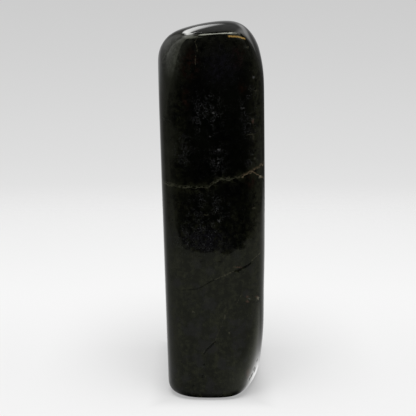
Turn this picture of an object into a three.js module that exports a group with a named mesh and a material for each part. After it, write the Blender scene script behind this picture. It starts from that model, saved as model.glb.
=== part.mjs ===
// A free-standing polished labradorite: one tall block of dark stone whose
// narrow front, narrow back and two broad sides were ground nearly flat,
// rounded over at every edge and polished. A facet slopes across the front of
// the top, smaller bevels cut the corners, and the foot is flat so it stands.
// Millimetres, +Z up, +X to the right of the narrow front, which faces -Y.

import * as THREE from 'three';
import { mergeVertices } from 'three/addons/utils/BufferGeometryUtils.js';

// Size of the block between its flat faces
const HEIGHT = 188;
const HALF_DEPTH = 42;
const LEFT_REACH = 25.6;
const RIGHT_REACH = 26.1;
const MIDDLE = HEIGHT / 2;

// How far the broad sides turn from upright, as a slope: the left one leans
// in towards the foot and the right one leans out a little
const LEFT_LEAN = 0.0248;
const RIGHT_LEAN = 0.0106;

// Radii of the shallow crowns that the lap leaves on the faces
const NARROW_CROWN = 80;
const BROAD_CROWN = 700;
const UPRIGHT_CROWN = 6000;
const FACET_CROWN = 180;
const CREST_CROWN = 64.5;
const CREST_FALL = 400;
const FLAT = Infinity;

// Widths of the rounding where faces meet
const RIDGE_ROUND = 2.4;
const CREST_ROUND = 7;
const BEVEL_ROUND = 5.5;
const SHOULDER_ROUND = 9.9;
const TOE_ROUND = 7.1;
const FOOT_ROUND = 5.3;

// The upright edges are rounded least halfway up and most at both ends, and
// the power says how late the rounding grows
const UPRIGHT_ROUND = 8.1;
const UPRIGHT_END_ROUND = 13.6;
const END_POWER = 4;

// Grid of the surface: cells across, front to back, and up, and how strongly
// they crowd towards the edges, from 0 for even to just under 1
const CELLS_ACROSS = 14;
const CELLS_DEEP = 24;
const CELLS_UP = 50;
const CROWDING = 0.82;

// Halvings of the search for the surface along a ray
const HALVINGS = 40;

// A crowned face: a point on it, the way it faces, the radii of its crown
// across and up, and how wide its edge with the faces before it is rounded,
// halfway up the stone and at the stone's ends
function face(at, facing, across, up, round, endRound = round) {
  const outward = new THREE.Vector3(...facing).normalize();
  const sideways = new THREE.Vector3(-outward.y, outward.x, 0).normalize();
  const upward = new THREE.Vector3().crossVectors(outward, sideways);
  return { at: new THREE.Vector3(...at), outward, sideways, upward, across, up, round, endRound };
}

const frontMiddle = [-1.5, -HALF_DEPTH, MIDDLE];
const backMiddle = [0, HALF_DEPTH, MIDDLE];
const leftMiddle = [-LEFT_REACH, 0, MIDDLE];
const rightMiddle = [RIGHT_REACH, 0, MIDDLE];
const leftOut = [-1, 0, -LEFT_LEAN];
const rightOut = [1, 0, RIGHT_LEAN];
const uprightEdge = [UPRIGHT_ROUND, UPRIGHT_END_ROUND];

const narrowFront = face(frontMiddle, [0, -1, 0], NARROW_CROWN, UPRIGHT_CROWN, 0);
const narrowBack = face(backMiddle, [0, 1, 0], NARROW_CROWN, UPRIGHT_CROWN, 0);
const topFacet = face([4.9, -41.4, 183.4], [-0.0345, -0.364, 1], FACET_CROWN, FLAT, RIDGE_ROUND);
const crest = face([7.5, -20, 188.5], [0.007, 0.03, 1], CREST_CROWN, CREST_FALL, CREST_ROUND);
const broadLeft = face(leftMiddle, leftOut, BROAD_CROWN, FLAT, ...uprightEdge);
const broadRight = face(rightMiddle, rightOut, BROAD_CROWN, UPRIGHT_CROWN, ...uprightEdge);
const leftBevel = face([-17.2, -41.5, 172.2], [-0.804, -0.522, 0.286], FLAT, FLAT, BEVEL_ROUND);
const rightBevel = face([18.5, -41.6, 175.5], [0.895, -0.274, 0.352], FLAT, FLAT, BEVEL_ROUND);
const shoulder = face([20.4, -20, 184.5], [0.844, 0, 0.536], FLAT, FLAT, SHOULDER_ROUND);
const toeCut = face([24.5, -32.3, 19.6], [0.898, -0.256, -0.358], FLAT, FLAT, TOE_ROUND);

const faces = [
  narrowFront,
  narrowBack,
  topFacet,
  crest,
  broadLeft,
  broadRight,
  leftBevel,
  rightBevel,
  shoulder,
  toeCut,
];

// Height of a point above a crowned face, negative inside the stone
function heightAbove(point, { at, outward, sideways, upward, across, up }) {
  const offset = point.clone().sub(at);
  const fallAcross = offset.dot(sideways) ** 2 / (2 * across);
  const fallUp = offset.dot(upward) ** 2 / (2 * up);
  return offset.dot(outward) + fallAcross + fallUp;
}

// The larger of two heights, rounded over where they differ by less than width
function roundedMax(a, b, width) {
  if (width === 0) return Math.max(a, b);
  const nearness = Math.max(width - Math.abs(a - b), 0) / width;
  return Math.max(a, b) + (nearness ** 2 * width) / 4;
}

// How far a point is outside the whole stone: zero on its surface
function outsideStone(point) {
  const towardsEnd = ((point.z - MIDDLE) / MIDDLE) ** END_POWER;
  let height = -HEIGHT;
  for (const side of faces) {
    const round = THREE.MathUtils.lerp(side.round, side.endRound, towardsEnd);
    height = roundedMax(height, heightAbove(point, side), round);
  }
  return roundedMax(height, -point.z, FOOT_ROUND);
}

// Spread grid lines over -1..1 so that they crowd towards both ends
function crowd(position) {
  const bend = (CROWDING * Math.PI) / 2;
  return Math.sin(position * bend) / Math.sin(bend);
}

// Move a point of the starting box onto the stone, along the ray that leaves
// the stone's upright core line through it
function settle(point) {
  const coreHeight = THREE.MathUtils.clamp(point.z, HALF_DEPTH, HEIGHT - HALF_DEPTH);
  const core = new THREE.Vector3(0, 0, coreHeight);
  const ray = point.clone().sub(core).normalize();
  let inside = 0;
  let outside = HEIGHT;
  for (let halving = 0; halving < HALVINGS; halving++) {
    const reach = (inside + outside) / 2;
    const probe = core.clone().addScaledVector(ray, reach);
    if (outsideStone(probe) > 0) outside = reach;
    else inside = reach;
  }
  return core.addScaledVector(ray, inside);
}

// The stone's skin: a box's grid settled onto the rounded faces, with the
// middle of its bounding box over the origin and its foot at height zero
function makeStone() {
  const grid = new THREE.BoxGeometry(2, 2, 2, CELLS_ACROSS, CELLS_DEEP, CELLS_UP);
  grid.deleteAttribute('normal');
  grid.deleteAttribute('uv');
  const skin = mergeVertices(grid);
  const positions = skin.getAttribute('position');
  const point = new THREE.Vector3();
  for (let i = 0; i < positions.count; i++) {
    point.fromBufferAttribute(positions, i);
    point.x = crowd(point.x) * LEFT_REACH;
    point.y = crowd(point.y) * HALF_DEPTH;
    point.z = (crowd(point.z) + 1) * MIDDLE;
    const settled = settle(point);
    positions.setXYZ(i, settled.x, settled.y, settled.z);
  }
  skin.computeBoundingBox();
  const { min, max } = skin.boundingBox;
  skin.translate(-(min.x + max.x) / 2, -(min.y + max.y) / 2, -min.z);
  skin.computeVertexNormals();
  return skin;
}

// Near-black feldspar with an olive tint under a mirror polish
const polishedStone = new THREE.MeshStandardMaterial({
  color: 0x0c0d0a,
  roughness: 0.08,
  metalness: 0,
});

const stone = new THREE.Mesh(makeStone(), polishedStone);
stone.name = 'stone';

const group = new THREE.Group();
group.add(stone);

export default group;
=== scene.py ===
# A polished labradorite freeform on a pale table: the stone's fine skin and
# its dark, flecked, mirror-polished finish, with the table, light and camera.

import math

import bpy
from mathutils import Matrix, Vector, noise


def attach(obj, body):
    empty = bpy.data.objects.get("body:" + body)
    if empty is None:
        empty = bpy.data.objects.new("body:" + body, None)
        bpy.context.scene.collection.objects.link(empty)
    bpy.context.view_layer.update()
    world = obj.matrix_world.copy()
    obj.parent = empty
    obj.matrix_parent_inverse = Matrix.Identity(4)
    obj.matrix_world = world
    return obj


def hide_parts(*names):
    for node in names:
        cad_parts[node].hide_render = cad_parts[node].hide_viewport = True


bl_info = {
    "name": "Labradorite freeform",
    "version": (1, 0, 0),
    "blender": (4, 5, 0),
    "location": "3D View > Sidebar > Labradorite",
    "description": "Dresses a polished labradorite freeform and sets it on a pale table",
    "category": "Object",
}

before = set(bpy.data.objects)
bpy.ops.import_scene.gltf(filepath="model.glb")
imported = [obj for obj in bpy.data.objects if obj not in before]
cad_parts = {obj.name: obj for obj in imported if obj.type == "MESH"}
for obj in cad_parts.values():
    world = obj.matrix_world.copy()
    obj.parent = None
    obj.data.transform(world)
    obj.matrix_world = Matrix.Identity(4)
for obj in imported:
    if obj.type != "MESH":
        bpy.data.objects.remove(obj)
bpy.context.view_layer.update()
TO_MM = 1000.0

# The narrow front from front to back, and how far back the marks on it reach
# round its edges, in millimetres
FRONT_Y = -42.0
MARKS_END_Y = -24.0

# Every mark below is placed on the narrow front in millimetres: across from
# the stone's middle, then up from the table.

# The healed crack across the middle, and its short fork at the right
HEALED_CRACK = [
    (-24.5, 111.3), (-22.9, 111.0), (-16.4, 109.9), (-10.6, 109.6), (-4.4, 109.4), (-1.0, 110.6),
    (3.8, 113.5), (7.7, 114.0), (12.5, 114.0), (15.9, 115.4), (19.2, 117.6), (25.5, 120.2),
]
HEALED_FORK = [(18.6, 117.2), (19.2, 117.4), (22.2, 115.3), (23.8, 114.0), (25.5, 113.2)]
# The open crack that climbs to the right across the lower half: the stretches
# that stand open, then the ones that are filled with pale mineral
OPEN_LEFT = [(-14.6, 58.0), (-13.8, 58.2), (-7.9, 58.9), (-4.4, 60.4), (-1.0, 62.8), (1.0, 63.6)]
OPEN_RIGHT = [(11.2, 68.1), (13.8, 68.8), (15.2, 69.7), (17.4, 70.6), (18.9, 71.8)]
FILLED_MIDDLE = [(1.6, 63.8), (4.0, 64.9), (6.2, 65.7), (8.4, 66.9), (11.0, 68.0)]
FILLED_RIGHT = [(19.4, 72.6), (21.4, 74.3), (24.0, 76.2)]
# Dim arcs in the stone beside it: the lower one is given as height, then place
DIM_ARC = [(11.2, 63.4), (13.8, 63.7), (15.3, 64.2), (16.9, 65.2)]
DIM_BOW = [(50.2, 10.6), (52.4, 12.1), (55.4, 13.8), (58.5, 14.2)]
# The short crack near the foot, and the chip that nicks the left edge
FOOT_CRACK = [(-3.9, 25.4), (-3.2, 26.8), (-1.6, 28.6), (1.5, 31.6)]
EDGE_NICK = [(-23.8, 142.4), (-21.8, 141.9), (-20.1, 141.3)]
# The dotted hairline that hangs from the top ridge: its height, then its
# place across
HAIRLINE = [
    (168.0, -7.9), (169.3, -7.9), (172.3, -7.9), (174.1, -7.1),
    (176.6, -7.1), (179.2, -8.1), (182.4, -6.7),
]
# Small pits near the foot: across, up, radius and depth, and their floors, painted in shadow
PITS = [(-3.9, 19.5, 0.7, 0.42), (-4.6, 13.2, 0.8, 0.48), (-9.4, 7.7, 0.7, 0.4)]
SHADED_PIT_FLOORS = [(across, up, radius * 0.9, radius * 0.75) for across, up, radius, depth in PITS]
# Shallow chips along the lower right edge: across, front to back, up, radius
# and depth
CHIPS = [
    (25.2, -30.0, 11.1, 2.0, 0.35),
    (23.6, -33.0, 13.3, 1.5, 0.3),
    (23.0, -34.0, 9.6, 1.7, 0.35),
    (21.4, -35.5, 8.4, 1.4, 0.25),
    (24.6, -31.0, 17.5, 1.1, 0.22),
]
# Dots of pale, rusty and dark mineral: across, up, half width, half height
WHITE_DOTS = [
    (19.6, 162.4, 0.5, 0.5), (3.4, 93.3, 0.6, 0.35), (3.3, 128.0, 0.55, 0.45), (14.6, 148.0, 0.9, 0.25),
    (2.8, 123.6, 0.3, 0.4), (3.2, 121.8, 0.4, 0.3), (-0.8, 134.6, 0.3, 0.25), (0.4, 146.0, 0.3, 0.3),
    (18.5, 53.2, 0.4, 0.4),
]
BRIGHT_DOTS = [(22.8, 52.6, 0.42, 0.75), (23.6, 114.2, 0.6, 0.5)]
CREAM_DOTS = [
    (20.9, 156.0, 1.0, 0.25), (20.2, 99.0, 0.7, 0.3), (-2.9, 96.3, 1.3, 0.2), (6.2, 65.7, 0.3, 0.8),
    (6.3, 44.5, 0.25, 1.1), (-9.4, 47.0, 0.5, 0.4), (16.8, 176.6, 0.5, 0.4), (18.4, 135.2, 2.0, 0.16),
    (19.8, 133.9, 0.18, 1.0), (20.7, 123.4, 0.4, 0.4), (19.6, 142.4, 0.3, 0.5), (8.4, 36.0, 0.4, 0.4),
]
RUST_DOTS = [
    (19.5, 141.5, 0.5, 0.8), (17.5, 54.2, 0.6, 0.5), (17.6, 51.8, 0.7, 0.6), (22.1, 53.7, 0.5, 0.5),
    (12.6, 69.7, 1.8, 0.3), (18.6, 13.1, 1.1, 2.4),
]
DARK_DOTS = [(19.8, 57.6, 0.9, 0.6), (20.0, 54.4, 0.5, 0.8), (20.4, 51.2, 0.9, 0.5), (4.6, 73.0, 0.6, 1.2)]
# Soft patches of tint, larger than the dots
RED_TINTS = [
    (-10.4, 168.5, 4.0, 6.0), (12.1, 172.0, 2.6, 5.0), (-12.4, 152.6, 1.6, 4.0), (14.5, 158.0, 1.6, 3.0),
    (18.6, 112.6, 2.0, 3.0),
]
VIOLET_TINTS = [(4.5, 168.0, 8.0, 8.0), (-4.0, 84.0, 11.0, 5.0), (-20.0, 84.0, 3.0, 5.0)]
# Clusters of fine pale flecks
FLECK_CLUSTERS = [
    (-2.5, 145.5, 7.5, 10.0), (3.0, 123.0, 4.5, 8.0), (-14.0, 128.0, 4.5, 8.0), (18.0, 146.0, 4.5, 12.0),
    (19.0, 123.0, 3.0, 5.0), (-7.5, 85.0, 11.0, 8.0), (-2.0, 98.0, 10.0, 9.0),
]
# The painted gold glint under the right half of the top ridge
GOLD_GLINT = [(7.5, 181.9), (12.3, 181.6), (15.5, 180.5)]
# The faint seam that climbs from the foot crack, and the light curve near the
# lower right edge that it runs into
FAINT_SEAM = [(1.3, 31.4), (3.4, 37.0), (6.3, 44.5), (8.6, 48.6), (11.0, 51.0)]
LENS_CURVE = [(11.3, 50.4), (12.0, 51.2), (13.4, 53.6), (14.6, 54.9)]

# The grooves cut along the open cracks and the nick: path, half width, depth
GROOVES = [
    ("open crack, left", OPEN_LEFT, 0.35, 0.05),
    ("open crack, right", OPEN_RIGHT, 0.55, 0.18),
    ("foot crack", FOOT_CRACK, 0.6, 0.4),
    ("edge nick", EDGE_NICK, 0.6, 0.10),
]
# How near to a mark the skin's faces are split, once for each round
SPLIT_MARGINS = (1.1, 0.7)
# The stretch of the top ridge that is nicked
RIDGE_Y = -36.0
RIDGE_Z = 180.6
RIDGE_LEFT = -14.0
RIDGE_RIGHT = 17.0
RIDGE_NICK_DEPTH = 0.12
# The right side is a little fuller than the solid's: height of the middle, how
# far the swell reaches up and down, where it starts and is full from left to
# right, and how much fuller it is there
SWELL_Z = 118.0
SWELL_REACH = 62.0
SWELL_START_X = 14.0
SWELL_FULL_X = 22.0
SWELL_HEIGHT = 0.24
# Depth of the lap's waves in the polish, in metres
WAVE_HEIGHT = 0.0001

# Colours of the stone, in linear light, with some painted light and shade among them
BLACK = (0.0003, 0.0003, 0.0003)
DARK_OLIVE = (0.0006, 0.0008, 0.0004)
# Pale olive: the stone's tint, made lighter as a painted reflection of the pale table
PALE_OLIVE_AND_REFLECTION = (0.0140, 0.0148, 0.0078)
OLIVE_HAZE = (0.0115, 0.0121, 0.0080)
SMOKY_BLUE = (0.0078, 0.0073, 0.0100)
# Rim colours: the stone's olive, with painted reflection along the front's side edges
LEFT_RIM_LIGHT = (0.0082, 0.0086, 0.0060)
RIGHT_RIM_LIGHT = (0.0140, 0.0146, 0.0082)
# A painted mottled highlight for the left bevel
LEFT_BEVEL_HIGHLIGHT = (0.030, 0.032, 0.025)
# The top's olive tint, whose mottling is a painted reflection
TOP_OLIVE_AND_REFLECTION = (0.0086, 0.0088, 0.0060)
DIM_RED = (0.0076, 0.0032, 0.0020)
DIM_VIOLET = (0.0050, 0.0048, 0.0066)
FLECK = (0.092, 0.093, 0.097)
CRACK_HALO = (0.0105, 0.0112, 0.0058)
GREY_FILLING = (0.060, 0.060, 0.040)
TAN_FILLING = (0.150, 0.110, 0.068)
# Painted shadow in the open cracks and pits, also the colour of the dim arcs and dots
CRACK_SHADOW_AND_DIM_MARKS = (0.0006, 0.0006, 0.0005)
PALE_LINE = (0.062, 0.058, 0.038)
WHITE = (0.10, 0.10, 0.10)
BRIGHT = (0.26, 0.24, 0.18)
CREAM = (0.085, 0.080, 0.055)
RUST = (0.085, 0.043, 0.032)
# Gold of the painted glint under the ridge
GOLD = (0.27, 0.17, 0.05)
# The painted sheen of colour play in the broad sides, from blue to bronze
PAINTED_SHEEN_HUES = [
    (0.0, (0.004, 0.009, 0.030)),
    (0.35, (0.006, 0.030, 0.060)),
    (0.6, (0.012, 0.050, 0.045)),
    (0.8, (0.070, 0.058, 0.012)),
    (1.0, (0.080, 0.040, 0.010)),
]
# The polish tints what it mirrors a little olive
POLISH_TINT = (0.96, 1.0, 0.79)

# Size of the table from side to side, and how far behind its back edge it
# fades out, in metres
TABLE_WIDTH = 2.4
TABLE_FADE = 0.15
# The flat of the foot, as half width and half depth in metres
FOOT_HALF_WIDTH = 0.018
FOOT_HALF_DEPTH = 0.036

# Grey of the backdrop from where the sight line dips by this sine, at 0, up to
# where it is level, at 1
BACKDROP_DIP = 0.25
BACKDROP_GREYS = [
    (0.0, 0.905),
    (0.156, 0.831),
    (0.248, 0.761),
    (0.34, 0.730),
    (0.524, 0.686),
    (0.708, 0.644),
    (0.9, 0.610),
]
# The room that the polish mirrors, as panes of light with soft borders: turns
# from straight behind the stone, right positive, and rises above level, in
# degrees, then the softness of the borders and the brightness
PANES = [
    # Low down, and behind the stone
    ((-105, -20), (-25, 5), 6, 0.33),
    ((-24, 8), (-20, 14), 6, 0.30),
    ((8, 150), (-30, 16), 8, 0.06),
    ((-140, -102), (-25, 5), 14, 0.15),
    ((7, 32), (7, 15), 3, 0.45),
    ((-22, 30), (18, 50), 8, 0.145),
    # At the left
    ((-110, -60), (8, 40), 4, 1.1),
    ((-110, -64), (24, 42), 7, 1.2),
    ((-60, -26), (8, 42), 6, 0.5),
    ((-150, -38), (43, 68), 6, 4.6),
    ((-165, -128), (34, 44), 4, 2.0),
    ((-150, -100), (8, 30), 8, 0.4),
    # At the right
    ((14, 45), (14, 60), 5, 0.45),
    ((30, 95), (42, 60), 5, 1.6),
    ((40, 150), (61, 80), 4, 5.0),
    ((88, 140), (18, 48), 8, 1.0),
    # Behind the camera, then overhead
    ((150, 400), (2, 40), 10, 0.08),
    ((-400, -150), (2, 40), 10, 0.08),
    ((-400, 400), (77, 100), 3, 14.0),
]
ROOM_GLIMMER = 0.022
# The slanting strip lamp among them: the turn and rise of its middle, then the
# directions along it and across it
STRIP_TURN = -13.0
STRIP_RISE = 30.7
STRIP_ALONG = (-0.65, 0.76)
STRIP_ASIDE = (0.76, 0.65)

# Even light that fills the room where the polish doesn't mirror it
FILL_LIGHT = (0.20, 0.20, 0.20)
# The lamp overhead: its place and size in metres, and its power in watts
LAMP_PLACE = (0.0, -0.3, 1.2)
LAMP_SIZE = 0.8
LAMP_POWER = 16.6

# Where the camera stands and aims from left to right, in metres, and its focal
# length and sensor width in millimetres
CAMERA_X = -0.00015
AIM_X = -0.00211
LENS = 92.6
SENSOR = 36.0


class StoneSettings(bpy.types.PropertyGroup):
    """Shape and finish of the stone"""

    body: bpy.props.FloatVectorProperty(
        name="Body colour",
        description="Colour of the dark feldspar",
        subtype="COLOR",
        size=3,
        min=0.0,
        max=1.0,
        default=(0.0013, 0.0015, 0.0008),
    )
    polish: bpy.props.FloatProperty(
        name="Polish roughness",
        description="Roughness of the polished skin",
        subtype="FACTOR",
        min=0.0,
        max=1.0,
        default=0.05,
    )
    gloss_index: bpy.props.FloatProperty(
        name="Gloss index",
        description="Refractive index that sets how strongly the polish mirrors its surroundings",
        min=1.0,
        max=2.0,
        default=1.28,
    )


class StageSettings(bpy.types.PropertyGroup):
    """The table, the room around it and the camera"""

    camera_distance: bpy.props.FloatProperty(
        name="Camera distance",
        description="From the stone's middle, along the table",
        subtype="DISTANCE",
        default=0.548,
    )
    camera_height: bpy.props.FloatProperty(
        name="Camera height",
        description="Above the table",
        subtype="DISTANCE",
        default=0.210,
    )
    aim_height: bpy.props.FloatProperty(
        name="Aim height",
        description="Height above the table that the camera looks at",
        subtype="DISTANCE",
        default=0.0906,
    )
    table_front: bpy.props.FloatProperty(
        name="Table front",
        description="How far the table reaches in front of the stone's middle",
        subtype="DISTANCE",
        default=0.323,
    )
    table_back: bpy.props.FloatProperty(
        name="Table back",
        description="How far the table reaches behind the stone's middle",
        subtype="DISTANCE",
        default=0.41,
    )


class Signal:
    """A node's output that takes part in sums and products like a number."""

    def __init__(self, graph, socket):
        self.graph = graph
        self.socket = socket

    def other(self, name):
        """Another output of the same node."""
        return Signal(self.graph, self.socket.node.outputs[name])

    def __add__(self, other):
        return self.graph.maths("ADD", self, other)

    __radd__ = __add__

    def __mul__(self, other):
        return self.graph.maths("MULTIPLY", self, other)

    __rmul__ = __mul__

    def __sub__(self, other):
        return self.graph.maths("SUBTRACT", self, other)

    def __rsub__(self, other):
        return self.graph.maths("SUBTRACT", other, self)

    def __truediv__(self, other):
        return self.graph.maths("DIVIDE", self, other)

    def __rtruediv__(self, other):
        return self.graph.maths("DIVIDE", other, self)

    def __abs__(self):
        return self.graph.maths("ABSOLUTE", self)


class Graph:
    """Builds a node tree from Python expressions."""

    def __init__(self, tree):
        self.tree = tree
        tree.nodes.clear()

    def node(self, kind, settings=None, sockets=None, output=0):
        """Add a node: its settings first, then the values or links of its sockets."""
        node = self.tree.nodes.new(kind)
        for name, value in (settings or {}).items():
            if name == "stops":
                self.set_stops(node.color_ramp, value)
            elif name == "curve":
                self.set_curve(node.mapping, value)
            else:
                setattr(node, name, value)
        for name, value in (sockets or {}).items():
            socket = node.inputs[name]
            if isinstance(value, Signal):
                self.tree.links.new(value.socket, socket)
            else:
                socket.default_value = value
        return Signal(self, node.outputs[output]) if node.outputs else None

    def set_stops(self, ramp, stops):
        while len(ramp.elements) < len(stops):
            ramp.elements.new(0.5)
        for stop, (place, colour) in zip(ramp.elements, stops):
            stop.position = place
            stop.color = rgba(colour)

    def set_curve(self, mapping, places):
        drawn = mapping.curves[0].points
        while len(drawn) < len(places):
            drawn.new(0.5, 0.5)
        for point, place in zip(drawn, places):
            point.location = place
            point.handle_type = "VECTOR"
        mapping.update()

    def maths(self, operation, *values):
        return self.node("ShaderNodeMath", {"operation": operation}, dict(enumerate(values)))

    def vector_maths(self, operation, *values, output=0):
        return self.node("ShaderNodeVectorMath", {"operation": operation}, dict(enumerate(values)), output)

    def largest(self, signal, *others):
        for other in others:
            signal = self.maths("MAXIMUM", signal, other)
        return signal

    def mix(self, share, under, over):
        """Lay one colour over another, by its share."""
        under, over = (rgba(colour) if isinstance(colour, tuple) else colour for colour in (under, over))
        return self.node("ShaderNodeMix", {"data_type": "RGBA"}, {0: share, 6: under, 7: over}, 2)

    def blend(self, share, under, over):
        """Lay one shader over another, by its share."""
        return self.node("ShaderNodeMixShader", sockets={0: share, 1: under, 2: over})

    def matt(self, grey):
        return self.node("ShaderNodeBsdfDiffuse", sockets={"Color": rgba((grey, grey, grey))})

    def shining(self, grey, strength=1.0):
        colour = rgba((grey, grey, grey))
        return self.node("ShaderNodeEmission", sockets={"Color": colour, "Strength": strength})

    def step(self, value, low, high):
        """0 below low, 1 above high, smooth between; high may be under low."""
        return self.node(
            "ShaderNodeMapRange",
            {"interpolation_type": "SMOOTHSTEP"},
            {"Value": value, "From Min": low, "From Max": high, "To Min": 0.0, "To Max": 1.0},
        )

    def noise(self, place, scale, detail, roughness, output=0):
        """A cloudy value near 0.5, scale being lumps for each millimetre."""
        return self.node(
            "ShaderNodeTexNoise",
            {"noise_dimensions": "3D"},
            {"Vector": place, "Scale": scale, "Detail": detail, "Roughness": roughness},
            output,
        )

    def squeezed(self, place, factors):
        """The place with each axis multiplied, to squeeze or stretch a pattern along it."""
        return self.vector_maths("MULTIPLY", place, factors)

    def spots(self, place, marks, soft):
        """1 inside any of several ellipses drawn on the front, 0 outside them."""
        return self.largest(*[self.spot(place, mark, soft) for mark in marks])

    def spot(self, place, mark, soft):
        across, up, half_wide, half_tall = mark
        shrunk = self.squeezed(place, (1 / half_wide, 0.0, 1 / half_tall))
        middle = (across / half_wide, 0.0, up / half_tall)
        reach = self.vector_maths("DISTANCE", shrunk, middle, output=1)
        return self.step(reach, 1.0 + soft, 1.0 - soft)

    def split(self, vector):
        """The three parts of a vector or colour."""
        first = self.node("ShaderNodeSeparateXYZ", sockets={0: vector})
        return [first.other(name) for name in "XYZ"]

    def path_height(self, along, points):
        """The height of a drawn path at each place along it, in the points' own units."""
        starts, heights = zip(*points)
        low, high = min(heights) - 1.0, max(heights) + 1.0
        first, last = starts[0], starts[-1]
        curve = [
            ((start - first) / (last - first), (height - low) / (high - low))
            for start, height in points
        ]
        share = self.maths("MINIMUM", self.largest((along - first) / (last - first), 0.0), 1.0)
        drawn = self.node("ShaderNodeFloatCurve", {"curve": curve}, {"Factor": 1.0, "Value": share})
        return drawn * (high - low) + low

    def line(self, along, up, points, half_width):
        """1 on a drawn line, 0 away from it and beyond its ends."""
        gap = abs(up - self.path_height(along, points))
        first, last = points[0][0], points[-1][0]
        ends = self.step(along, first - 0.4, first + 0.4) * self.step(along, last + 0.4, last - 0.4)
        return self.step(gap, half_width, half_width * 0.3) * ends


def rgba(colour):
    return (*colour, 1.0)


def deselect_all():
    for thing in bpy.context.selected_objects:
        thing.select_set(False)


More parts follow.
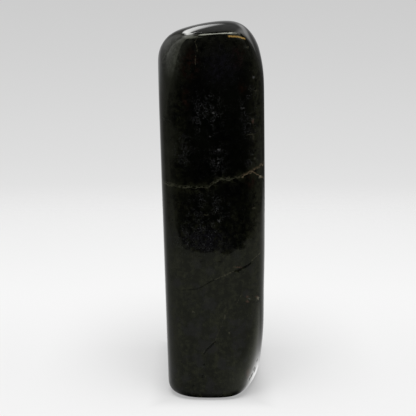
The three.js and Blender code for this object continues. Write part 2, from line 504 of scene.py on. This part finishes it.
class StoneFinish:
    """Dark feldspar with flecks and cracks under a mirror polish, laid on in layers."""

    def __init__(self, tree, settings):
        self.graph = graph = Graph(tree)
        self.settings = settings
        object_place = graph.node("ShaderNodeTexCoord").other("Object")
        scaled = {0: object_place, "Scale": TO_MM}
        self.place = place = graph.node("ShaderNodeVectorMath", {"operation": "SCALE"}, scaled)
        self.x, self.y, self.z = graph.split(place)
        self.front = graph.step(self.y, -30.0, -36.0)
        # Noises that several layers share: grain of the stone, wandering of its
        # lines, gaps in them, and patches where flecks gather
        self.grain = graph.noise(place, 0.42, 5.0, 0.7)
        self.wobble = graph.noise(place, 0.9, 4.0, 0.7) - 0.5
        self.bend = graph.noise(place, 0.30, 2.0, 0.5) - 0.5
        self.broken = graph.step(graph.noise(place, 0.9, 3.0, 0.6), 0.38, 0.58)
        self.gathered = graph.step(graph.noise(place, 0.34, 2.0, 0.5), 0.40, 0.60)
        self.colour = None

    def lay(self, share, colour):
        """Lay a colour over what is there, by its share."""
        self.colour = self.graph.mix(share, self.colour, colour)

    def lay_body(self):
        """Black with brownish clouds, turning a lighter olive towards the foot and the left: the stone's own
        tint, with a painted reflection of the pale table.
        """
        graph, place, x, z, grain = self.graph, self.place, self.x, self.z, self.grain
        clouds = graph.noise(place, 0.045, 3.0, 0.55) * 0.55 + grain * 0.45
        self.colour = graph.mix(graph.step(clouds, 0.42, 0.62), BLACK, tuple(self.settings.body))
        streaks = graph.noise(graph.squeezed(place, (1.0, 1.0, 0.35)), 0.22, 4.0, 0.65)
        olive = graph.mix(graph.step(streaks * 0.4 + grain * 0.6, 0.44, 0.66), DARK_OLIVE, PALE_OLIVE_AND_REFLECTION)
        # Lighter olive at the foot and the left: partly the stone's tint, partly a painted reflection of the
        # table
        left = graph.step(x + grain * 8.0, -3.0, -13.0) * 0.6
        self.lay(graph.largest(graph.step(z, 118.0, 66.0), left), olive)

    def lay_haze(self):
        """Hazy and bluish drifts, rims painted lighter, a painted highlight on the left bevel and an olive
        top mottled with painted reflection.
        """
        graph, place, x, y, z, grain = self.graph, self.place, self.x, self.y, self.z, self.grain
        drifts = graph.step(graph.noise(place, 0.07, 3.0, 0.6), 0.36, 0.66)
        self.lay(graph.step(x + grain * 5.0, -10.0, -20.0) * drifts * graph.step(z, 188.0, 174.0), OLIVE_HAZE)
        blue_drifts = graph.step(graph.noise(place, 0.16, 2.0, 0.5), 0.52, 0.66)
        self.lay(blue_drifts * graph.step(z, 92.0, 60.0) * 0.6, SMOKY_BLUE)
        # The front's side rims are painted lighter: the stone's olive with a painted reflection of the bright
        # sides
        rim = graph.step(abs(x), 16.0, 23.0) * graph.step(y, -22.0, -34.0) * graph.step(grain, 0.32, 0.60)
        self.lay(rim * 0.8, graph.mix(graph.step(x, -5.0, 5.0), LEFT_RIM_LIGHT, RIGHT_RIM_LIGHT))
        # A painted mottled highlight on the left bevel
        bevel = graph.step(x, -13.0, -18.0) * graph.step(z, 160.0, 174.0) * graph.step(y, -22.0, -32.0)
        self.lay(bevel * graph.step(graph.noise(place, 0.6, 4.0, 0.7), 0.44, 0.62), LEFT_BEVEL_HIGHLIGHT)
        # An olive top, mottled by the grain as a painted reflection on the polished top
        self.lay(graph.step(z, 160.0, 186.0) * graph.step(grain, 0.35, 0.6) * 0.6, TOP_OLIVE_AND_REFLECTION)

    def lay_tints(self):
        """Soft red and violet patches on the front."""
        graph, place = self.graph, self.place
        patchy = graph.step(graph.noise(place, 0.55, 3.0, 0.6), 0.42, 0.62)
        self.lay(graph.spots(place, RED_TINTS, 0.8) * patchy * self.front, DIM_RED)
        violet = graph.spots(place, VIOLET_TINTS, 0.7) * self.front
        self.lay(violet * (patchy * 0.6 + 0.25), DIM_VIOLET)

    def lay_flecks(self):
        """Fine pale flecks and short winding threads, crowded into clusters."""
        graph, place = self.graph, self.place
        cells_place = graph.squeezed(place, (1.4, 1.4, 1.9))
        cells = graph.node("ShaderNodeTexVoronoi", sockets={"Vector": cells_place, "Scale": 1.2})
        chosen = graph.step(graph.split(cells.other("Color"))[0], 0.40, 0.80)
        dots = graph.step(cells, 0.34, 0.14) * chosen
        threads = graph.step(abs(graph.noise(place, 0.9, 3.0, 0.6) - 0.5), 0.034, 0.006)
        clustered = graph.spots(place, FLECK_CLUSTERS, 0.6) * self.front * self.gathered
        crowd = graph.largest(clustered, self.gathered * 0.14)
        self.lay(graph.largest(dots, threads * 0.15) * crowd, FLECK)

    def lay_healed_crack(self):
        """The crack across the middle, filled with mineral that is tan at the right."""
        graph, place, x, z = self.graph, self.place, self.x, self.z
        shaken = z + self.wobble * 2.2 + self.bend * 4.0
        patchy = graph.step(graph.noise(place, 0.5, 2.0, 0.5), 0.36, 0.56)
        strand = graph.line(x, shaken, HEALED_CRACK, 0.28) * (patchy * 0.3 + self.broken * 0.6 + 0.06)
        beside = z - 0.9 + self.wobble * 5.5 + self.bend * 2.0
        twin = graph.line(x, beside, HEALED_CRACK, 0.32) * self.broken * 0.7
        fork = graph.line(x, z + self.wobble * 2.2, HEALED_FORK, 0.34) * 0.7
        gap = abs(z + self.wobble * 5.0 - graph.path_height(x, HEALED_CRACK))
        self.lay(graph.step(gap, 4.5, 0.5) * self.front * self.gathered * 0.6, CRACK_HALO)
        self.healed = graph.largest(strand, twin, fork) * self.front
        self.lay(self.healed, graph.mix(graph.step(x, 11.0, 17.0), GREY_FILLING, TAN_FILLING))

    def lay_open_cracks(self):
        """The open cracks and the floors of the pits in painted shadow, and dim arcs nearby."""
        graph, place, x, z = self.graph, self.place, self.x, self.z
        shaken = z + self.wobble * 1.2
        thin = graph.line(x, z + self.wobble * 1.9, OPEN_LEFT, 0.40) * (self.broken * 0.7 + 0.3)
        right = graph.line(x, shaken, OPEN_RIGHT, 0.65)
        foot = graph.line(x, shaken, FOOT_CRACK, 0.9)
        floors = graph.spots(place, SHADED_PIT_FLOORS, 0.4)
        self.opened = graph.largest(thin, right, foot, floors) * self.front
        arc = graph.line(x, shaken, DIM_ARC, 0.9)
        bow = graph.line(z, x + self.wobble, DIM_BOW, 0.7)
        dim = graph.largest(arc, bow, graph.spots(place, DARK_DOTS, 0.6)) * self.front
        self.lay(graph.largest(dim * 0.85, self.opened), CRACK_SHADOW_AND_DIM_MARKS)

    def lay_pale_lines(self):
        """The filled stretches of the lower crack, the hairline and the faint seams."""
        graph, x, z = self.graph, self.x, self.z
        loose = z + self.wobble * 2.4
        middle = graph.line(x, loose, FILLED_MIDDLE, 0.36)
        right = graph.line(x, loose, FILLED_RIGHT, 0.36)
        hair = graph.line(z, x + self.wobble * 0.5, HAIRLINE, 0.26)
        shaken = z + self.wobble * 2.2 + self.bend * 4.0
        curve = graph.line(x, shaken, LENS_CURVE, 0.35)
        seam = graph.line(x, z + self.wobble * 6.0, FAINT_SEAM, 0.8)
        lines = graph.largest(hair * 0.6, curve * 0.6, seam * 0.22, graph.largest(middle, right) * 0.7)
        self.lay(lines * self.broken * self.front, PALE_LINE)

    def lay_dots(self):
        """Larger dots of mineral, with frayed borders."""
        graph = self.graph
        drift = graph.vector_maths("SUBTRACT", graph.noise(self.place, 1.6, 2.0, 0.6, 1), (0.5, 0.5, 0.5))
        frayed = graph.vector_maths("ADD", self.place, graph.squeezed(drift, (2.6, 0.0, 2.6)))
        for marks, share, colour in (
            (WHITE_DOTS, 0.5, WHITE),
            (BRIGHT_DOTS, 0.7, BRIGHT),
            (CREAM_DOTS, 0.38, CREAM),
            (RUST_DOTS, 0.5, RUST),
        ):
            self.lay(graph.spots(frayed, marks, 0.7) * self.front * share, colour)

    def lay_glints(self):
        """A painted gold glint under the ridge, and a painted blue and bronze sheen in the broad sides."""
        graph, place, x, y, z = self.graph, self.place, self.x, self.y, self.z
        # A painted glint of gold just under the ridge
        gold = graph.line(x, z + self.wobble * 0.35, GOLD_GLINT, 0.55)
        self.lay(gold * graph.step(y, -34.0, -37.0), GOLD)
        # A painted sheen of blue and bronze in sheets on the broad sides
        sides = graph.step(abs(x), 17.0, 23.0) * graph.step(abs(y), 34.0, 22.0)
        sides = sides * graph.step(z, 14.0, 34.0) * graph.step(z, 176.0, 150.0)
        sheets = graph.noise(graph.squeezed(place, (0.2, 0.6, 1.0)), 0.035, 3.0, 0.55)
        lamellae = graph.noise(graph.squeezed(place, (0.1, 1.0, 0.12)), 0.9, 2.0, 0.5)
        tone = graph.step(sheets + (lamellae - 0.5) * 0.10, 0.45, 0.72)
        hue = graph.node("ShaderNodeValToRGB", {"stops": PAINTED_SHEEN_HUES}, {"Fac": tone})
        self.lay(sides * graph.step(sheets, 0.46, 0.60) * (lamellae * 0.3 + 0.5), hue)

    def finish(self):
        """Cover the layers with a polish that cracks dull and the lap left gently waved."""
        graph, place = self.graph, self.place
        cracked = graph.largest(self.opened, self.healed * 0.5)
        smear = graph.step(graph.noise(place, 0.05, 2.0, 0.5), 0.4, 0.7) * 0.02
        waves = graph.noise(place, 0.10, 1.0, 0.4) + graph.noise(place, 0.55, 2.0, 0.5) * 0.07
        relief = {"Strength": 1.0, "Distance": WAVE_HEIGHT, "Height": waves}
        shader = graph.node(
            "ShaderNodeBsdfPrincipled",
            sockets={
                "Base Color": self.colour,
                "Roughness": cracked * 0.4 + smear + self.settings.polish,
                "IOR": self.settings.gloss_index,
                "Specular Tint": rgba(POLISH_TINT),
                "Normal": graph.node("ShaderNodeBump", sockets=relief),
            },
        )
        graph.node("ShaderNodeOutputMaterial", sockets={"Surface": shader})


def make_polish(settings):
    """The stone's material, with all of its layers."""
    material = bpy.data.materials.new("polished_labradorite")
    material.use_nodes = True
    stone = StoneFinish(material.node_tree, settings)
    stone.lay_body()
    stone.lay_haze()
    stone.lay_tints()
    stone.lay_flecks()
    stone.lay_healed_crack()
    stone.lay_open_cracks()
    stone.lay_pale_lines()
    stone.lay_dots()
    stone.lay_glints()
    stone.finish()
    return material


def gap_to_path(across, up, path):
    """How far a place on the front is from a drawn path, in millimetres."""
    nearest = math.inf
    for (x0, z0), (x1, z1) in zip(path, path[1:]):
        run, rise = x1 - x0, z1 - z0
        share = ((across - x0) * run + (up - z0) * rise) / (run * run + rise * rise)
        share = min(max(share, 0.0), 1.0)
        nearest = min(nearest, math.hypot(across - x0 - share * run, up - z0 - share * rise))
    return nearest


def crack_weight(point, path, half_width):
    """1 in the middle of a crack on the front, falling to 0 at its lips."""
    if point.y > MARKS_END_Y:
        return 0.0
    return max(1.0 - gap_to_path(point.x, point.z, path) / half_width, 0.0)


def hollow_weight(point, centre, radius):
    """1 in the middle of a round hollow, falling smoothly to 0 at its rim."""
    share = (point - centre).length / radius
    return max(1.0 - share * share, 0.0)


def ridge_weight(point):
    """Scattered small nicks along the top ridge."""
    if point.y > RIDGE_Y or point.z < RIDGE_Z or not RIDGE_LEFT < point.x < RIDGE_RIGHT:
        return 0.0
    return max(noise.noise(point * 1.5) + 0.1, 0.0)


def swell_weight(point):
    """1 on the right side around the swell's middle, falling off up, down and inwards."""
    middle = max(1.0 - ((point.z - SWELL_Z) / SWELL_REACH) ** 2, 0.0)
    inwards = (point.x - SWELL_START_X) / (SWELL_FULL_X - SWELL_START_X)
    return min(max(inwards, 0.0), 1.0) * min(middle * 2.0, 1.0)


def split_faces(skin, picked):
    """Cut the faces that picked() chooses into four each."""
    bpy.ops.object.mode_set(mode="EDIT")
    bpy.ops.mesh.select_mode(type="FACE")
    bpy.ops.mesh.select_all(action="DESELECT")
    bpy.ops.object.mode_set(mode="OBJECT")
    for face in skin.data.polygons:
        face.select = picked(face.center * TO_MM)
    bpy.ops.object.mode_set(mode="EDIT")
    bpy.ops.mesh.subdivide(number_cuts=1)
    bpy.ops.object.mode_set(mode="OBJECT")


def press_in(skin, name, depth, weight):
    """Press the skin in along its normals, by depth times the weight of each point."""
    group = skin.vertex_groups.new(name=name)
    for vertex in skin.data.vertices:
        share = weight(vertex.co * TO_MM)
        if share > 0.0:
            group.add([vertex.index], min(share, 1.0), "REPLACE")
    press = skin.modifiers.new(name, "DISPLACE")
    press.direction = "NORMAL"
    press.mid_level = 0.0
    press.strength = -depth / TO_MM
    press.vertex_group = group.name
    bpy.ops.object.modifier_apply(modifier=press.name)


def place_hollows(skin):
    """The pits and chips as centres on the skin, with radius and depth."""
    pits = [(x, FRONT_Y, z, radius, depth) for x, z, radius, depth in PITS]
    hollows = []
    for x, y, z, radius, depth in pits + CHIPS:
        centre = skin.closest_point_on_mesh(Vector((x, y, z)) / TO_MM)[1]
        hollows.append((centre * TO_MM, radius, depth))
    return hollows


def carve_marks(skin):
    """Cut the open cracks, pits, chips and ridge nicks, and fill out the right side."""
    hollows = place_hollows(skin)

    def near(point, margin):
        if point.y > MARKS_END_Y:
            return False
        if any((point - centre).length < radius + margin for centre, radius, depth in hollows):
            return True
        return any(gap_to_path(point.x, point.z, path) < margin for name, path, width, depth in GROOVES)

    for margin in SPLIT_MARGINS:
        split_faces(skin, lambda point: near(point, margin))
    for name, path, half_width, depth in GROOVES:
        press_in(skin, name, depth, lambda point: crack_weight(point, path, half_width))
    for centre, radius, depth in hollows:
        press_in(skin, "hollow", depth, lambda point: hollow_weight(point, centre, radius))
    press_in(skin, "ridge nicks", RIDGE_NICK_DEPTH, ridge_weight)
    press_in(skin, "swell of the right side", -SWELL_HEIGHT, swell_weight)
    bpy.ops.object.vertex_group_remove(all=True)


class LABRADORITE_OT_stone(bpy.types.Operator):
    """Make the polished stone's fine skin over its solid, and give it its finish"""

    bl_idname = "labradorite.stone"
    bl_label = "Stone"

    def execute(self, context):
        deselect_all()
        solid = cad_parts["stone"]
        solid.select_set(True)
        context.view_layer.objects.active = solid
        bpy.ops.object.duplicate()
        skin = context.view_layer.objects.active
        skin.name = "labradorite_skin"
        skin.data.name = "labradorite_skin"
        self.smooth(skin)
        carve_marks(skin)
        bpy.ops.object.shade_smooth()
        skin.data.materials.clear()
        skin.data.materials.append(make_polish(context.scene.labradorite_stone))
        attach(skin, "root")
        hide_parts("stone")
        return {"FINISHED"}

    def smooth(self, skin):
        """Join the solid's loose triangles into four-sided faces and round them finer."""
        bpy.ops.object.mode_set(mode="EDIT")
        bpy.ops.mesh.select_all(action="SELECT")
        bpy.ops.mesh.remove_doubles(threshold=1e-5)
        flat_enough = math.radians(60)
        bpy.ops.mesh.tris_convert_to_quads(face_threshold=flat_enough, shape_threshold=flat_enough)
        bpy.ops.object.mode_set(mode="OBJECT")
        finer = skin.modifiers.new("Fine skin", "SUBSURF")
        finer.levels = 2
        finer.render_levels = 2
        bpy.ops.object.modifier_apply(modifier=finer.name)


def make_table_finish(settings):
    """Plain pale board whose far edge melts into the backdrop.

    Half of it glows as painted light. The polish mirrors it with painted shade,
    dimmer towards its left and dark towards its right and its front corners, with a
    painted glow just beside the stone and a painted contact shadow, black right under its edge.
    """
    material = bpy.data.materials.new("pale_table")
    material.use_nodes = True
    graph = Graph(material.node_tree)
    x, y = graph.split(graph.node("ShaderNodeTexCoord").other("Object"))[:2]
    mirrored = graph.node("ShaderNodeLightPath").other("Is Glossy Ray")

    # Half lit by the lamp and half glowing as painted light, brighter at the back than the front, so that the
    # stone's shadow stays soft
    painted_glow = graph.blend(graph.step(y, 0.16, -0.02), graph.shining(0.985), graph.shining(0.84))
    board = graph.blend(0.5, graph.matt(0.86), painted_glow)

    # The painted shade that the polish mirrors on the board, and where the pale board shows in it
    pale = graph.step(x, 0.52, 0.34) * (1.0 - graph.step(x, -0.12, -0.50) * 0.35)
    pale = pale * (1.0 - graph.step(x * -0.684 - y * 0.730, 0.300, 0.345) * 0.45)
    pale = pale * graph.step(x * 0.637 - y * 0.772, 0.42, 0.355)
    pale = pale * (1.0 - graph.step(y, -0.16, -0.05) * 0.15)
    pale = graph.largest(pale, graph.step(x, 0.60, 0.80) * 0.3)
    board = graph.blend(mirrored * (1.0 - pale * 0.74), board, graph.matt(0.14))

    # A painted glowing patch beside the stone's lower right edge, seen only in the polish
    patch = graph.step(y, -0.11, -0.02) * graph.step(y, 0.028, -0.024)
    patch = patch * graph.step(x, 0.0, 0.03) * graph.step(x, 0.20, 0.12)
    board = graph.blend(mirrored * patch, board, graph.shining(1.0, 2.0))

    # A painted contact shadow where the stone meets the table, mirrored weaker at its corners
    from_foot = graph.largest(abs(x) - FOOT_HALF_WIDTH, abs(y) - FOOT_HALF_DEPTH)
    seen_contact_shadow = graph.step(from_foot, 0.016, 0.002) * 0.13
    corners = graph.step(abs(x), 0.012, 0.021)
    mirrored_contact_shadow = graph.step(from_foot, 0.011, 0.003) * mirrored * (1.0 - corners * 0.7)
    board = graph.blend(graph.largest(seen_contact_shadow, mirrored_contact_shadow), board, graph.shining(0.0))

    clear = graph.node("ShaderNodeBsdfTransparent")
    solid = graph.step(y, settings.table_back + 0.10, settings.table_back - 0.12)
    graph.node("ShaderNodeOutputMaterial", sockets={"Surface": graph.blend(solid, clear, board)})
    return material


def window(graph, value, limits, soft):
    """1 between two limits, 0 outside them, with soft borders."""
    low, high = limits
    return graph.step(value, low - soft, low + soft) * graph.step(value, high + soft, high - soft)


def slanting_strip(graph, turn, rise):
    """The strip lamp that slants up to the left, wider and dimmer towards its top."""
    turn_off, rise_off = turn - STRIP_TURN, rise - STRIP_RISE
    along = rise_off * STRIP_ALONG[1] + turn_off * STRIP_ALONG[0]
    aside = rise_off * STRIP_ASIDE[1] + turn_off * STRIP_ASIDE[0]
    aside = aside / (graph.largest(along, 0.0) * 0.07 + 1.0)
    strip = window(graph, aside, (-2.1, 3.5), 1.2) * window(graph, along, (-17, 24), 1.2)
    strip = strip * (1.0 - graph.step(along, 9.0, 22.0) * 0.6)
    return strip * graph.largest(turn * -0.3 + 0.65, 0.0)


class LABRADORITE_OT_stage(bpy.types.Operator):
    """Set the pale table, the light of the room and the camera"""

    bl_idname = "labradorite.stage"
    bl_label = "Stage"

    def execute(self, context):
        settings = context.scene.labradorite_stage
        self.set_table(context, settings)
        self.light_room(context)
        self.place_camera(context, settings)
        return {"FINISHED"}

    def set_table(self, context, settings):
        deselect_all()
        bpy.ops.mesh.primitive_plane_add(size=1.0, location=(0.0, 0.0, 0.0))
        table = context.view_layer.objects.active
        table.name = "table"
        front, back = -settings.table_front, settings.table_back + TABLE_FADE
        table.scale = (TABLE_WIDTH, back - front, 1.0)
        table.location = (0.0, (front + back) / 2, 0.0)
        bpy.ops.object.transform_apply(location=True, rotation=True, scale=True)
        table.data.materials.append(make_table_finish(settings))

    def light_room(self, context):
        world = bpy.data.worlds.new("studio_room")
        context.scene.world = world
        world.use_nodes = True
        graph = Graph(world.node_tree)
        x, y, z = graph.split(graph.node("ShaderNodeTexCoord").other("Generated"))
        stops = [(place, (grey, grey, grey)) for place, grey in BACKDROP_GREYS]
        upward = (z + BACKDROP_DIP) / BACKDROP_DIP
        backdrop = graph.node("ShaderNodeValToRGB", {"stops": stops}, {"Fac": upward})
        turn = graph.maths("ARCTAN2", x, y) * math.degrees(1.0)
        rise = graph.maths("ARCSINE", z) * math.degrees(1.0)
        room = slanting_strip(graph, turn, rise) + ROOM_GLIMMER
        for turns, rises, soft, brightness in PANES:
            room = room + window(graph, turn, turns, soft) * window(graph, rise, rises, soft) * brightness
        ray = graph.node("ShaderNodeLightPath")
        light = graph.mix(ray.other("Is Glossy Ray"), FILL_LIGHT, room)
        light = graph.mix(ray.other("Is Camera Ray"), light, backdrop)
        surroundings = graph.node("ShaderNodeBackground", sockets={"Color": light, "Strength": 1.0})
        graph.node("ShaderNodeOutputWorld", sockets={"Surface": surroundings})
        bpy.ops.object.light_add(type="AREA", location=LAMP_PLACE)
        lamp = context.view_layer.objects.active
        lamp.name = "soft_overhead_light"
        lamp.data.shape = "RECTANGLE"
        lamp.data.size = LAMP_SIZE
        lamp.data.size_y = LAMP_SIZE
        lamp.data.energy = LAMP_POWER
        lamp.visible_glossy = False

    def place_camera(self, context, settings):
        aim = Vector((AIM_X, 0.0, settings.aim_height))
        spot = Vector((CAMERA_X, -settings.camera_distance, settings.camera_height))
        turn = (aim - spot).to_track_quat("-Z", "Y").to_euler()
        bpy.ops.object.camera_add(location=spot, rotation=turn)
        camera = context.view_layer.objects.active
        camera.name = "camera"
        camera.data.sensor_width = SENSOR
        camera.data.lens = LENS
        context.scene.camera = camera
        context.scene.view_settings.view_transform = "Standard"


class LABRADORITE_PT_panel(bpy.types.Panel):
    """The stone's settings and the operators that make it"""

    bl_idname = "LABRADORITE_PT_panel"
    bl_label = "Labradorite freeform"
    bl_space_type = "VIEW_3D"
    bl_region_type = "UI"
    bl_category = "Labradorite"

    def draw(self, context):
        layout = self.layout
        stone = context.scene.labradorite_stone
        stage = context.scene.labradorite_stage
        for name in ("body", "polish", "gloss_index"):
            layout.prop(stone, name)
        layout.operator(LABRADORITE_OT_stone.bl_idname)
        for name in ("camera_distance", "camera_height", "aim_height", "table_front", "table_back"):
            layout.prop(stage, name)
        layout.operator(LABRADORITE_OT_stage.bl_idname)


CLASSES = (
    StoneSettings,
    StageSettings,
    LABRADORITE_OT_stone,
    LABRADORITE_OT_stage,
    LABRADORITE_PT_panel,
)


def register():
    for item in CLASSES:
        bpy.utils.register_class(item)
    bpy.types.Scene.labradorite_stone = bpy.props.PointerProperty(type=StoneSettings)
    bpy.types.Scene.labradorite_stage = bpy.props.PointerProperty(type=StageSettings)


def unregister():
    del bpy.types.Scene.labradorite_stage
    del bpy.types.Scene.labradorite_stone
    for item in reversed(CLASSES):
        bpy.utils.unregister_class(item)


def main():
    register()
    bpy.ops.labradorite.stone()
    bpy.ops.labradorite.stage()


if __name__ == "__main__":
    main()
